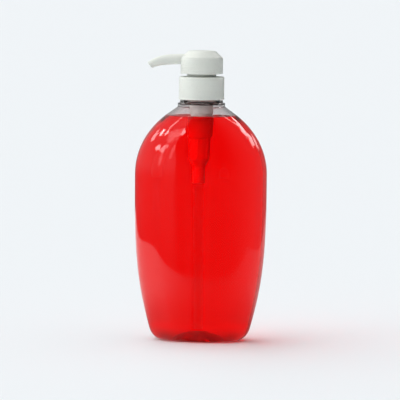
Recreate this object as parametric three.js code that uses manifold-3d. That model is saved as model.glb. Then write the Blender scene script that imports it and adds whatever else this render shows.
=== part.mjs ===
// A one litre oval bottle with a lotion pump, locked down, in millimetres, +Z up.
// The origin is on the bottle's axis, in the plane that it stands on.
import * as THREE from 'three';
import { mergeVertices } from 'three/addons/utils/BufferGeometryUtils.js';
import Module from 'manifold-3d';

const wasm = await Module();
wasm.setup();

// Bottle body: full sizes, and the heights where they are reached
const bodyHeight = 196.8;
const bottleWidth = 111.3;
const bottleDepth = 77.6;
const widestZ = 138;
const heelWidth = 85;
const heelDepth = 60;
const heelZ = 10;
const standWidth = 60;
const standDepth = 42;
const standRingWidth = 3;
const pushUpHeight = 7;
const sideLean = 0.29;
const shoulderWidth = 53.6;
const shoulderDepth = 47.6;
const shoulderDrop = 4.8;
const bodySquareness = 2.35;
const bottleWall = 0.8;

// How far the bottle's outline runs straight on from each height before it bends
const heelRunDown = 6;
const sideRunUp = 41;
const sideRunDown = 59;
const shoulderRunUp = 6.9;
const shoulderRunDown = 20.7;
const shoulderRunOut = 1.43;
const neckFillet = 3;

// Bottle neck
const stepRingRadius = 19.85;
const stepRingHeight = 3.2;
const stepRingRound = 0.5;
const neckBendSpare = 0.2;
const neckBore = 13.2;
const finishWall = 2.7;
const finishHeight = 13.2;
const beadWidth = 2.1;
const beadHeight = 2.4;
const lipRound = 0.5;

// Liquid
const headSpace = 8.8;
const liquidGap = 0.3;

// Clearances between pieces
const seatGap = 0.1;
const slideFit = 0.08;
const turnFit = 0.4;
const pushFit = 0.15;
const hubFit = 0.45;
const neckFit = 1;
const edgeRound = 0.3;

// Gasket and closure
const gasketThickness = 1.2;
const closureWall = 2.1;
const closureHeight = 19.1;
const closureLip = 0.3;
const closureLipHeight = 1.1;
const closureBevel = 1.1;
const closureThreadRoom = 1;
const topPlateThickness = 1.6;
const closureRimHeight = 1.6;
const closureRimGap = 0.5;

// Lock ring
const lockFlangeThickness = 0.9;
const lockFlangeOverlap = 1.5;
const lockBossWall = 2.45;
const lockBossHeight = 7.4;
const lockBore = 9.75;
const lockFloorThickness = 1.6;
const lockFloorDrop = 0.6;
const lockPlugWall = 1.4;
const lockPlugDepth = 15.7;

// Pump cylinder, from its flange down to the dip tube socket
const flangeThickness = 1.8;
const housingCollarWidth = 0.8;
const housingCollarHeight = 13;
const housingCollarStep = 2;
const cylinderBore = 7.7;
const cylinderWall = 1.4;
const cylinderFloor = 1.4;
const springChamberLedge = 1;
const springChamberWall = 1;
const springChamberLength = 18;
const ribCount = 6;
const ribWidth = 1.2;
const ribHeight = 0.5;
const socketWall = 0.72;
const socketLength = 13;

// Inlet valve
const ballRadius = 2.4;
const ballLift = 1.6;
const inletRadius = 1.8;
const inletSeatThickness = 1;
const cageThickness = 1;
const cageSlotWidth = 1.6;
const cageSlotLength = 3.45;
const cageHub = 1.35;
const cageSlotCount = 4;

// Dip tube
const tubeRadius = 3.9;
const tubeBore = 3;
const tubeEndGap = 2.5;

// Moving pieces of the pump
const stroke = 20;
const topSpare = 3;
const stemRadius = 4.4;
const stemBore = 2.6;
const stemCollarRadius = 5.7;
const stemCollarHeight = 1.5;
const stemCollarSlope = 1;
const stemGrip = 4.5;
const pistonHeight = 9;
const pistonWaistDepth = 1;
const pistonWaistSlope = 0.8;
const pistonLipHeight = 1.8;
const valveSlip = 1.2;
const rodFlangeGap = 0.7;
const rodFlangeThickness = 1.5;
const rodSpigotGap = 0.75;
const rodSpigotLength = 5;
const rodSpigotBevel = 0.6;
const rodFinWidth = 1.3;
const rodFinSpare = 2;
const springRadius = 5.4;
const springWire = 0.45;
const springTurns = 9;

// Head and its spout
const headRadius = 17.8;
const headHeight = 19.6;
const headGap = 2.5;
const headTopRadius = 11.6;
const headChamferHeight = 6;
const headCrown = 0.5;
const headWall = 1.4;
const headTopWall = 2.7;
const headEdge = 0.6;
const stemSocketDepth = 12.4;
const spoutReach = 44.6;
const spoutRootDrop = 7.5;
const spoutTipDrop = 12.5;
const spoutTipAngle = 42;
const spoutTipRun = 6;
const spoutRootHeight = 8.7;
const spoutRootWidth = 9.6;
const spoutTipHeight = 5.6;
const spoutTipWidth = 6;
const spoutBore = 1.7;
const spoutRun = 11.8;
const spoutRise = 0.4;
const spoutTurn = 12;

// Smoothness of the faceted surfaces
const ovalSides = 40;
const roundSides = 32;
const smallSides = 20;

// Heights that follow from the sizes above
const ballSeatHeight = Math.sqrt(ballRadius ** 2 - inletRadius ** 2) + seatGap;
const shoulderZ = bodyHeight - shoulderDrop;
const fillZ = bodyHeight - headSpace;
const stepRingTop = bodyHeight + stepRingHeight;
const beadTop = stepRingTop + beadHeight;
const lipZ = beadTop + finishHeight;
const gasketZ = lipZ + seatGap;
const gasketTop = gasketZ + gasketThickness;
const flangeZ = gasketTop + seatGap;
const flangeTop = flangeZ + flangeThickness;
const plateZ = flangeTop + seatGap;
const plateTop = plateZ + topPlateThickness;
const closureTop = plateTop + closureRimHeight;
const closureZ = closureTop - closureHeight;
const lockFlangeZ = plateTop + seatGap;
const lockTop = closureTop + lockBossHeight;
const lockFloorTop = lockFlangeZ - lockFloorDrop;
const lockFloorZ = lockFloorTop - lockFloorThickness;
const lockPlugZ = flangeTop - lockPlugDepth;
const counterboreZ = lockPlugZ - seatGap;
const housingCollarZ = counterboreZ - housingCollarHeight;
const cylinderZ = counterboreZ - topSpare - stroke - valveSlip - pistonHeight;
const cylinderFootZ = cylinderZ - cylinderFloor;
const springChamberZ = cylinderZ - springChamberLength;
const coneLength = ballSeatHeight + ballRadius + ballLift + seatGap;
const coneZ = springChamberZ - coneLength;
const socketZ = coneZ - socketLength;
const rodFlangeZ = cylinderZ;
const rodFlangeTop = rodFlangeZ + rodFlangeThickness;
const pistonZ = rodFlangeTop + seatGap;
const pistonTop = pistonZ + pistonHeight;
const stemCollarZ = pistonTop + valveSlip + seatGap;
const headZ = closureTop + headGap;
const headTop = headZ + headHeight;
const hubZ = lockFloorTop + seatGap;
const socketTop = hubZ + stemSocketDepth;
const cageTop = springChamberZ + cageThickness;
const ballZ = coneZ + ballSeatHeight;
const inletZ = coneZ - inletSeatThickness;
const tubeTop = inletZ - seatGap;
const tubeZ = pushUpHeight + bottleWall + tubeEndGap;

// Radii that follow from the sizes above
const finishRadius = neckBore + finishWall;
const beadRadius = finishRadius + beadWidth;
const closureBore = finishRadius + closureThreadRoom;
const closureRadius = closureBore + closureWall;
const housingRimRadius = neckBore - neckFit;
const closureHole = housingRimRadius + turnFit;
const lockFlangeRadius = closureHole + lockFlangeOverlap;
const closureRimBore = lockFlangeRadius + closureRimGap;
const lockBossRadius = lockBore + lockBossWall;
const lockPlugRadius = lockBore + lockPlugWall / 2;
const counterbore = lockPlugRadius + pushFit;
const housingRadius = cylinderBore + cylinderWall;
const housingCollarRadius = housingRadius + housingCollarWidth;
const springChamberBore = cylinderBore - springChamberLedge;
const springChamberRadius = springChamberBore + springChamberWall;
const tubeSocket = tubeRadius + slideFit;
const socketRadius = tubeSocket + socketWall;
const ballChamber = ballRadius + turnFit;
const pistonWaist = cylinderBore - pistonWaistDepth;
const rodFlangeRadius = springChamberBore - rodFlangeGap;
const rodSpigotRadius = springRadius - springWire - rodSpigotGap;
const hubRadius = lockBore - hubFit;
const gasketRadius = finishRadius - slideFit;
const gasketBore = housingRimRadius + pushFit;
const stemHole = stemRadius + turnFit;

// Materials
function plastic(color, roughness, opacity = 1) {
  return new THREE.MeshStandardMaterial({
    color, roughness, metalness: 0, opacity, transparent: opacity < 1,
  });
}

const clearPet = plastic(0xe8f1f4, 0.08, 0.3);
const redSoap = plastic(0xe00804, 0.15, 0.75);
const whitePp = plastic(0xf1f3ee, 0.35);
const naturalPp = plastic(0xe6e4dd, 0.4);
const softPe = plastic(0xdfe0dc, 0.55);
const tubePe = plastic(0xe4e6e2, 0.4, 0.6);
const glassBead = plastic(0xcfdad6, 0.05);
const springSteel = new THREE.MeshStandardMaterial({ color: 0xb9bcc0, roughness: 0.3, metalness: 1 });

// A solid turned about the Z axis from [radius, height] points, anticlockwise in the half plane.
// The outline closes on itself unless it starts and ends on the axis.
function turned(outline, sides = roundSides) {
  const points = outline.map(([radius, z]) => new THREE.Vector2(radius, z));
  const endsOnAxis = points[0].x === 0 && points.at(-1).x === 0;
  if (!endsOnAxis) points.push(points[0].clone());
  return new THREE.LatheGeometry(points, sides).rotateX(Math.PI / 2);
}

// A closed skin over rings of points that all run anticlockwise, with a fan over each end.
function skinned(rings) {
  const sides = rings[0].length;
  const centreOf = (ring) => ring.reduce((sum, p) => sum.add(p), new THREE.Vector3()).divideScalar(sides);
  const points = [...rings.flat(), centreOf(rings[0]), centreOf(rings.at(-1))];
  const firstCentre = rings.length * sides;
  const index = [];
  for (let side = 0; side < sides; side += 1) {
    const next = (side + 1) % sides;
    for (let ring = 0; ring < rings.length - 1; ring += 1) {
      const low = ring * sides;
      const high = low + sides;
      index.push(low + side, low + next, high + next, low + side, high + next, high + side);
    }
    const last = (rings.length - 1) * sides;
    index.push(firstCentre, next, side, firstCentre + 1, last + side, last + next);
  }
  const geometry = new THREE.BufferGeometry().setFromPoints(points);
  geometry.setIndex(index);
  geometry.computeVertexNormals();
  return geometry;
}

// Geometry to solid and back, for joining and cutting
function toSolid(geometry) {
  const bare = geometry.clone();
  bare.deleteAttribute('normal');
  bare.deleteAttribute('uv');
  const merged = mergeVertices(bare, 1e-4);
  const corners = Array.from(merged.index.array);
  const triangles = [];
  for (let i = 0; i < corners.length; i += 3) {
    const [a, b, c] = corners.slice(i, i + 3);
    if (a !== b && b !== c && c !== a) triangles.push(a, b, c);
  }
  return new wasm.Manifold(new wasm.Mesh({
    numProp: 3,
    vertProperties: new Float32Array(merged.attributes.position.array),
    triVerts: new Uint32Array(triangles),
  }));
}

function toGeometry(solid) {
  const mesh = solid.getMesh();
  const geometry = new THREE.BufferGeometry();
  geometry.setAttribute('position', new THREE.BufferAttribute(mesh.vertProperties, 3));
  geometry.setIndex(new THREE.BufferAttribute(mesh.triVerts, 1));
  geometry.computeVertexNormals();
  return geometry;
}

const model = new THREE.Group();

function addPiece(name, geometry, material) {
  const piece = new THREE.Mesh(geometry, material);
  piece.name = name;
  model.add(piece);
  return piece;
}

// Half of the bottle's outline seen from the front or the side, from the base's centre to the neck root.
// Both views give their points at the same heights.
function bodyOutline({ full, heel, stand, shoulder }) {
  const lean = sideLean * (full / bottleWidth);
  const shoulderSlope = shoulderRunOut * ((full - shoulder) / (bottleWidth - shoulderWidth));
  const half = (size) => size / 2;
  const innerStand = half(stand) - standRingWidth;

  const path = new THREE.Path();
  path.moveTo(innerStand / 6, pushUpHeight);
  path.bezierCurveTo(
    innerStand * 0.55, pushUpHeight, innerStand * 0.8, pushUpHeight * 0.35, innerStand, 0,
  );
  path.lineTo(half(stand), 0);
  path.bezierCurveTo(
    half(stand) + (half(heel) - half(stand)) * 0.55, 0,
    half(heel) - lean * heelRunDown, heelZ - heelRunDown,
    half(heel), heelZ,
  );
  path.bezierCurveTo(
    half(heel) + lean * sideRunUp, heelZ + sideRunUp,
    half(full), widestZ - sideRunDown,
    half(full), widestZ,
  );
  path.bezierCurveTo(
    half(full), widestZ + shoulderRunUp,
    half(shoulder) + shoulderSlope * shoulderRunDown, shoulderZ - shoulderRunDown,
    half(shoulder), shoulderZ,
  );
  path.quadraticCurveTo(
    half(shoulder) - shoulderSlope * neckFillet, shoulderZ + neckFillet, stepRingRadius, bodyHeight,
  );
  const stepsOfCurve = [3, 1, 4, 7, 9, 3];
  return path.curves.flatMap((curve, i) => curve.getPoints(stepsOfCurve[i]).slice(i === 0 ? 0 : 1));
}

// One oval ring of the bottle: an ellipse with slightly squared corners
function ovalRing(halfWidth, halfDepth, z, squareness) {
  const bend = (value) => Math.sign(value) * Math.abs(value) ** (2 / squareness);
  return Array.from({ length: ovalSides }, (_, i) => {
    const angle = (i / ovalSides) * 2 * Math.PI;
    return new THREE.Vector3(halfWidth * bend(Math.cos(angle)), halfDepth * bend(Math.sin(angle)), z);
  });
}

const roundRing = (radius, z) => ovalRing(radius, radius, z, 2);

function bodyRings() {
  const front = bodyOutline({
    full: bottleWidth, heel: heelWidth, stand: standWidth, shoulder: shoulderWidth,
  });
  const side = bodyOutline({
    full: bottleDepth, heel: heelDepth, stand: standDepth, shoulder: shoulderDepth,
  });
  return front.map((point, i) => {
    const towardsNeck = THREE.MathUtils.smoothstep(point.y, widestZ, bodyHeight);
    const squareness = THREE.MathUtils.lerp(bodySquareness, 2, towardsNeck);
    return ovalRing(point.x, side[i].x, point.y, squareness);
  });
}

// The same rings moved inwards along the surface's normals
function insetRings(rings, distance) {
  return rings.map((ring, i) => ring.map((point, j) => {
    const above = rings[Math.min(i + 1, rings.length - 1)][j];
    const below = rings[Math.max(i - 1, 0)][j];
    const ahead = ring[(j + 1) % ovalSides];
    const behind = ring[(j + ovalSides - 1) % ovalSides];
    const outwards = ahead.clone().sub(behind).cross(above.clone().sub(below)).normalize();
    return point.clone().addScaledVector(outwards, -distance);
  }));
}

// The hollow of the bottle, inset from the body by the given distance, up to past the lip
function cavitySolid(inset) {
  const stepCavity = stepRingRadius - inset - neckBendSpare;
  return toSolid(skinned([
    ...insetRings(bodyRings(), inset),
    roundRing(stepCavity, bodyHeight + stepRingRound),
    roundRing(stepCavity, stepRingTop - inset - stepRingRound),
    roundRing(beadRadius - inset, stepRingTop - inset),
    roundRing(neckBore, beadTop),
    roundRing(neckBore, lipZ + 1),
  ]));
}

function bottle() {
  const outside = toSolid(skinned([
    ...bodyRings(),
    roundRing(stepRingRadius, stepRingTop - stepRingRound),
    roundRing(stepRingRadius - stepRingRound, stepRingTop),
    roundRing(beadRadius, stepRingTop + stepRingRound),
    roundRing(beadRadius, beadTop),
    roundRing(finishRadius, beadTop),
    roundRing(finishRadius, lipZ - lipRound),
    roundRing(finishRadius - lipRound, lipZ),
  ]));
  return toGeometry(outside.subtract(cavitySolid(bottleWall)));
}

// The room that the pump takes up in the liquid
function pumpRoom() {
  return toSolid(turned([
    [0, tubeZ - liquidGap],
    [tubeRadius + liquidGap, tubeZ - liquidGap],
    [tubeRadius + liquidGap, socketZ - liquidGap],
    [socketRadius + liquidGap, socketZ - liquidGap],
    [socketRadius + liquidGap, coneZ - liquidGap],
    [springChamberRadius + ribHeight + liquidGap, springChamberZ - liquidGap],
    [springChamberRadius + ribHeight + liquidGap, cylinderFootZ - liquidGap],
    [housingRadius + liquidGap, cylinderFootZ - liquidGap],
    [housingRadius + liquidGap, fillZ + 1],
    [0, fillZ + 1],
  ]));
}

function liquid() {
  const below = toSolid(turned([[0, 0], [bottleWidth, 0], [bottleWidth, fillZ], [0, fillZ]]));
  return toGeometry(cavitySolid(bottleWall + liquidGap).intersect(below).subtract(pumpRoom()));
}

function gasket() {
  return turned([
    [gasketBore, gasketZ], [gasketRadius, gasketZ], [gasketRadius, gasketTop], [gasketBore, gasketTop],
  ]);
}

function closure() {
  return turned([
    [closureBore, closureZ],
    [closureRadius + closureLip - edgeRound, closureZ],
    [closureRadius + closureLip, closureZ + edgeRound],
    [closureRadius + closureLip, closureZ + closureLipHeight],
    [closureRadius, closureZ + closureLipHeight + closureLip],
    [closureRadius, closureTop - closureBevel],
    [closureRadius - closureBevel * 0.3, closureTop - closureBevel * 0.3],
    [closureRadius - closureBevel, closureTop],
    [closureRimBore, closureTop],
    [closureRimBore, plateTop],
    [closureHole, plateTop],
    [closureHole, plateZ],
    [closureBore, plateZ],
  ]);
}

function lockRing() {
  return turned([
    [lockPlugRadius - lockPlugWall, lockPlugZ],
    [lockPlugRadius, lockPlugZ],
    [lockPlugRadius, lockFlangeZ],
    [lockFlangeRadius, lockFlangeZ],
    [lockFlangeRadius, lockFlangeZ + lockFlangeThickness],
    [lockBossRadius, lockFlangeZ + lockFlangeThickness],
    [lockBossRadius, lockTop - edgeRound],
    [lockBossRadius - edgeRound, lockTop],
    [lockBore, lockTop],
    [lockBore, lockFloorTop],
    [stemHole, lockFloorTop],
    [stemHole, lockFloorZ],
    [lockPlugRadius - lockPlugWall, lockFloorZ],
  ]);
}

function pumpHousing() {
  const rimTop = plateTop - seatGap;
  const body = toSolid(turned([
    [tubeSocket, socketZ],
    [socketRadius, socketZ],
    [socketRadius, coneZ],
    [springChamberRadius, springChamberZ],
    [springChamberRadius, cylinderFootZ],
    [housingRadius, cylinderFootZ],
    [housingRadius, housingCollarZ],
    [housingCollarRadius, housingCollarZ + housingCollarWidth],
    [housingCollarRadius, counterboreZ - housingCollarStep],
    [housingRimRadius, counterboreZ],
    [housingRimRadius, flangeZ],
    [gasketRadius, flangeZ],
    [gasketRadius, flangeTop],
    [housingRimRadius, flangeTop],
    [housingRimRadius, rimTop],
    [counterbore, rimTop],
    [counterbore, counterboreZ],
    [cylinderBore, counterboreZ],
    [cylinderBore, cylinderZ],
    [springChamberBore, cylinderZ],
    [springChamberBore, springChamberZ],
    [ballChamber, springChamberZ - coneLength / 2],
    [ballChamber, coneZ + ballSeatHeight / 2],
    [inletRadius, coneZ],
    [inletRadius, inletZ],
    [tubeSocket, inletZ],
  ]));
  const ribRoot = springChamberBore + springChamberWall / 2;
  const ribTip = springChamberRadius + ribHeight;
  const ribZ = springChamberZ + ribHeight;
  const ribTop = cylinderFootZ + cylinderFloor / 3;
  const ribs = Array.from({ length: ribCount }, (_, i) => {
    const rib = new THREE.BoxGeometry(ribTip - ribRoot, ribWidth, ribTop - ribZ);
    rib.translate((ribTip + ribRoot) / 2, 0, (ribTop + ribZ) / 2);
    return toSolid(rib.rotateZ(((i + 0.5) / ribCount) * 2 * Math.PI));
  });
  return toGeometry(ribs.reduce((sum, rib) => sum.add(rib), body));
}

// Seat of the spring, slotted so that liquid passes while the ball stays below
function ballCage() {
  const disc = toSolid(turned([
    [0, springChamberZ + seatGap],
    [springChamberBore - pushFit, springChamberZ + seatGap],
    [springChamberBore - pushFit, cageTop],
    [0, cageTop],
  ], smallSides));
  const slots = Array.from({ length: cageSlotCount }, (_, i) => {
    const slot = new THREE.BoxGeometry(cageSlotLength, cageSlotWidth, cageThickness * 4);
    slot.translate(cageHub + cageSlotLength / 2, 0, cageTop);
    return toSolid(slot.rotateZ((i / cageSlotCount) * 2 * Math.PI));
  });
  return toGeometry(slots.reduce((left, slot) => left.subtract(slot), disc));
}

function inletBall() {
  return new THREE.SphereGeometry(ballRadius, 16, 10).rotateX(Math.PI / 2).translate(0, 0, ballZ);
}

function dipTube() {
  return turned([
    [tubeBore, tubeZ], [tubeRadius, tubeZ], [tubeRadius, tubeTop], [tubeBore, tubeTop],
  ], smallSides);
}

// Lower rod: a flange under the piston, a spigot in the spring and crossed fins in the stem
function valveRod() {
  const finRadius = stemBore - pushFit;
  const finTop = rodFlangeTop + stemGrip + rodFinSpare;
  const flange = toSolid(turned([
    [0, rodFlangeZ - rodSpigotLength],
    [rodSpigotRadius - rodSpigotBevel, rodFlangeZ - rodSpigotLength],
    [rodSpigotRadius, rodFlangeZ - rodSpigotLength + rodSpigotBevel],
    [rodSpigotRadius, rodFlangeZ],
    [rodFlangeRadius, rodFlangeZ],
    [rodFlangeRadius, rodFlangeTop],
    [0, rodFlangeTop],
  ], smallSides));
  const fins = [0, Math.PI / 2].map((angle) => {
    const fin = new THREE.BoxGeometry(finRadius * 2, rodFinWidth, finTop - rodFlangeZ);
    return toSolid(fin.translate(0, 0, (finTop + rodFlangeZ) / 2).rotateZ(angle));
  });
  return toGeometry(flange.add(fins[0]).add(fins[1]));
}

function piston() {
  const lip = cylinderBore - slideFit;
  return turned([
    [stemHole, pistonZ],
    [lip, pistonZ],
    [lip, pistonZ + pistonLipHeight],
    [pistonWaist, pistonZ + pistonLipHeight + pistonWaistSlope],
    [pistonWaist, pistonTop - pistonLipHeight - pistonWaistSlope],
    [lip, pistonTop - pistonLipHeight],
    [lip, pistonTop],
    [stemHole, pistonTop],
  ]);
}

function stem() {
  return turned([
    [stemBore, rodFlangeTop + seatGap],
    [stemRadius, rodFlangeTop + seatGap],
    [stemRadius, stemCollarZ],
    [stemCollarRadius, stemCollarZ],
    [stemCollarRadius, stemCollarZ + stemCollarHeight],
    [stemRadius, stemCollarZ + stemCollarHeight + stemCollarSlope],
    [stemRadius, socketTop - seatGap],
    [stemBore, socketTop - seatGap],
  ], smallSides);
}

function spring() {
  const start = cageTop + springWire + seatGap;
  const end = rodFlangeZ - springWire - seatGap;
  class Coil extends THREE.Curve {
    getPoint(t) {
      const angle = t * springTurns * 2 * Math.PI;
      const z = THREE.MathUtils.lerp(start, end, t);
      return new THREE.Vector3(springRadius * Math.cos(angle), springRadius * Math.sin(angle), z);
    }
  }
  const wire = new THREE.Shape().absarc(0, 0, springWire, 0, 2 * Math.PI);
  return new THREE.ExtrudeGeometry(wire, {
    extrudePath: new Coil(), steps: springTurns * 14, curveSegments: 3, bevelEnabled: false,
  });
}

// The middle line of the spout, pointing along -X, from inside the hub's wall to the tip
function spoutLine() {
  const angle = THREE.MathUtils.degToRad(spoutTipAngle);
  const root = new THREE.Vector3(-(hubRadius + stemRadius) / 2, 0, headTop - spoutRootDrop);
  const tip = new THREE.Vector3(-spoutReach, 0, headTop - spoutTipDrop);
  const rootHandle = new THREE.Vector3(-headRadius - spoutRun, 0, root.z + spoutRise);
  const tipHandle = tip.clone().add(new THREE.Vector3(Math.cos(angle), 0, Math.sin(angle))
    .multiplyScalar(spoutTipRun));
  return new THREE.CubicBezierCurve3(root, rootHandle, tipHandle, tip);
}

// An oval arm that narrows towards its tip
function spoutArm() {
  const line = spoutLine();
  const steps = 12;
  const sides = 16;
  const across = new THREE.Vector3(0, 1, 0);
  const rings = Array.from({ length: steps + 1 }, (_, i) => {
    const t = i / steps;
    const centre = line.getPointAt(t);
    const along = line.getTangentAt(t);
    const up = along.clone().cross(across);
    const narrowing = THREE.MathUtils.smoothstep(t, 0.55, 1);
    const height = THREE.MathUtils.lerp(spoutRootHeight, spoutTipHeight, narrowing) / 2;
    const slimming = THREE.MathUtils.smoothstep(t, 0.3, 1);
    const width = THREE.MathUtils.lerp(spoutRootWidth, spoutTipWidth, slimming) / 2;
    return Array.from({ length: sides }, (__, j) => {
      const angle = (j / sides) * 2 * Math.PI;
      return centre.clone()
        .addScaledVector(across, width * Math.cos(angle))
        .addScaledVector(up, height * Math.sin(angle));
    });
  });
  return skinned(rings);
}

function spoutPassage() {
  const line = spoutLine();
  const axis = new THREE.Vector3(0, 0, headTop - spoutRootDrop);
  const past = line.getPointAt(1).addScaledVector(line.getTangentAt(1), 2);
  const route = new THREE.CatmullRomCurve3([axis, ...line.getSpacedPoints(10), past]);
  const hole = new THREE.Shape().absarc(0, 0, spoutBore, 0, 2 * Math.PI);
  return new THREE.ExtrudeGeometry(hole, {
    extrudePath: route, steps: 16, curveSegments: 5, bevelEnabled: false,
  });
}

function head() {
  const chamferZ = headTop - headCrown - headChamferHeight;
  const innerTop = headTop - headCrown - headTopWall;
  const shell = toSolid(turned([
    [0, socketTop],
    [stemRadius + pushFit, socketTop],
    [stemRadius + pushFit, hubZ],
    [hubRadius, hubZ],
    [hubRadius, innerTop],
    [headTopRadius - headWall * 0.4, innerTop],
    [headRadius - headWall, chamferZ - headWall * 0.4],
    [headRadius - headWall, headZ],
    [headRadius - edgeRound, headZ],
    [headRadius, headZ + edgeRound],
    [headRadius, chamferZ - headEdge],
    [headRadius - headEdge * 0.8, chamferZ + headEdge * 0.5],
    [headTopRadius + headEdge, headTop - headCrown - headEdge * 0.7],
    [headTopRadius - headEdge, headTop - headCrown + headEdge * 0.15],
    [headTopRadius * 0.5, headTop - headCrown * 0.25],
    [0, headTop],
  ]));
  const riserFoot = socketTop - edgeRound;
  const riserTop = headTop - spoutRootDrop + spoutBore + spoutRise;
  const riser = toSolid(turned([
    [0, riserFoot], [stemBore, riserFoot], [stemBore, riserTop], [0, riserTop],
  ], 12));
  return toGeometry(shell.add(toSolid(spoutArm())).subtract(toSolid(spoutPassage())).subtract(riser));
}

addPiece('bottle', bottle(), clearPet);
addPiece('liquid', liquid(), redSoap);
addPiece('gasket', gasket(), softPe);
addPiece('pump_housing', pumpHousing(), naturalPp);
addPiece('ball_cage', ballCage(), naturalPp);
addPiece('inlet_ball', inletBall(), glassBead);
addPiece('dip_tube', dipTube(), tubePe);
addPiece('spring', spring(), springSteel);
addPiece('valve_rod', valveRod(), naturalPp);
addPiece('piston', piston(), softPe);
addPiece('stem', stem(), naturalPp);
addPiece('lock_ring', lockRing(), whitePp);
addPiece('closure', closure(), whitePp);
addPiece('head', head(), whitePp).rotation.z = THREE.MathUtils.degToRad(spoutTurn);

export default model;
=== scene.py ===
# Clear oval bottle of red liquid soap with a white lotion pump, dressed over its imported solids
import math

import bmesh
import bpy
from mathutils import Matrix, Vector
from mathutils.geometry import interpolate_bezier


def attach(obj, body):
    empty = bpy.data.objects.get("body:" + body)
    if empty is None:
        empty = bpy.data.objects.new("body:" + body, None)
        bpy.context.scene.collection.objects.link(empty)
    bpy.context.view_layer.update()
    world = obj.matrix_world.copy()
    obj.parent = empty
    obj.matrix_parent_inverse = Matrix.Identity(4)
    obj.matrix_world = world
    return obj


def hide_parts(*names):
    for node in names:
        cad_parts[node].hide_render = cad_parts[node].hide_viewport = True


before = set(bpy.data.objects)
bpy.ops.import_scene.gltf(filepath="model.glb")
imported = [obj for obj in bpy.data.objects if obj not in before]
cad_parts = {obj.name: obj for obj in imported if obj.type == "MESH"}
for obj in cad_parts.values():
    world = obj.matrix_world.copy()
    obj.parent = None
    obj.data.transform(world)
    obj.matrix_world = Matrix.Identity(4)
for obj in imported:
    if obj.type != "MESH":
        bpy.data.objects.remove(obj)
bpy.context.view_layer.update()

mm = 0.001  # sizes below are in millimetres, Blender's are in metres
ovalSides = 112
roundSides = 96
pumpSides = 64


# helpers that every piece uses

def channelToLinear(value):
    return value / 12.92 if value <= 0.04045 else ((value + 0.055) / 1.055) ** 2.4


def linearColour(text):  # an sRGB hex colour as Blender's linear one
    return tuple(channelToLinear(int(text[i:i + 2], 16) / 255) for i in (1, 3, 5)) + (1.0,)


def addNode(tree, kind, inputs=(), **settings):
    # inputs names its sockets or fills them in order, each with a value, an output to link from, or a
    # node whose first output is linked
    node = tree.nodes.new(kind)
    for name, value in settings.items():
        setattr(node, name, value)
    for socket, value in inputs.items() if isinstance(inputs, dict) else enumerate(inputs):
        if isinstance(value, bpy.types.Node):
            value = value.outputs[0]
        if isinstance(value, bpy.types.NodeSocket):
            tree.links.new(value, node.inputs[socket])
        else:
            node.inputs[socket].default_value = value
    return node


def newMaterial(name):
    material = bpy.data.materials.new(name)
    material.use_nodes = True
    material.node_tree.nodes.clear()
    return material, material.node_tree


def smoothStep(low, high, value):
    share = min(max((value - low) / (high - low), 0), 1)
    return share * share * (3 - 2 * share)


def wrapGrid(bm, rings, rowSlots=None):
    # lays a grid over rings of points, from one end to the other, sews its seam and closes its ends;
    # rowSlots gives the material slot of each row of faces that isn't in slot 0
    rows = len(rings) - 1
    columns = len(rings[0])
    grid = bmesh.ops.create_grid(bm, x_segments=columns, y_segments=rows, size=0.5)
    made = {face for vert in grid["verts"] for face in vert.link_faces}
    for face in made:
        row = int((face.calc_center_median().y + 0.5) * rows)
        face.material_index = (rowSlots or {}).get(row, 0)
    for vert in grid["verts"]:
        column = round((vert.co.x + 0.5) * columns) % columns
        row = round((vert.co.y + 0.5) * rows)
        vert.co = rings[row][column]
    bmesh.ops.remove_doubles(bm, verts=grid["verts"], dist=1e-4)
    bmesh.ops.holes_fill(bm, edges=[edge for edge in bm.edges if edge.is_boundary], sides=0)


def spinProfile(bm, outline, steps=roundSides):
    # turns an outline of [radius, height, corner radius]; it closes unless both ends are on the axis
    verts = [bm.verts.new((point[0], 0, point[1])) for point in outline]
    onAxis = outline[0][0] == 0 and outline[-1][0] == 0
    pairs = list(zip(verts, verts[1:])) + ([] if onAxis else [(verts[-1], verts[0])])
    for pair in pairs:
        bm.edges.new(pair)
    for vert, point in zip(verts, outline):
        if len(point) > 2:
            bmesh.ops.bevel(
                bm, geom=[vert], offset=point[2], offset_type="OFFSET", segments=3,
                profile=0.5, affect="VERTICES", material=-1, clamp_overlap=True,
            )
    wires = [edge for edge in bm.edges if edge.is_wire]
    points = list({vert for edge in wires for vert in edge.verts})
    bmesh.ops.spin(
        bm, geom=points + wires, cent=(0, 0, 0), axis=(0, 0, 1), dvec=(0, 0, 0),
        angle=math.tau, steps=steps, use_merge=True, use_normal_flip=False, use_duplicate=False,
    )
    bmesh.ops.remove_doubles(bm, verts=bm.verts, dist=1e-4)


def finishPiece(name, bm, body, materials, node, sharp=38):
    # faces turned outwards, millimetres made metres, and the piece set on its body in the frame
    bmesh.ops.recalc_face_normals(bm, faces=bm.faces)
    bmesh.ops.scale(bm, vec=(mm, mm, mm), verts=bm.verts)
    for face in bm.faces:
        face.smooth = True
    mesh = bpy.data.meshes.new(name)
    bm.to_mesh(mesh)
    bm.free()
    for material in materials:
        mesh.materials.append(material)
    mesh.set_sharp_from_angle(angle=math.radians(sharp))
    piece = bpy.data.objects.new(name, mesh)
    bpy.context.scene.collection.objects.link(piece)
    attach(piece, body)
    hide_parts(node)
    print("made", name, len(mesh.polygons), "faces")


def turnedPiece(name, outline, body, material, node, steps=pumpSides):
    bm = bmesh.new()
    spinProfile(bm, outline, steps)
    finishPiece(name, bm, body, [material], node)


# materials

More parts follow.
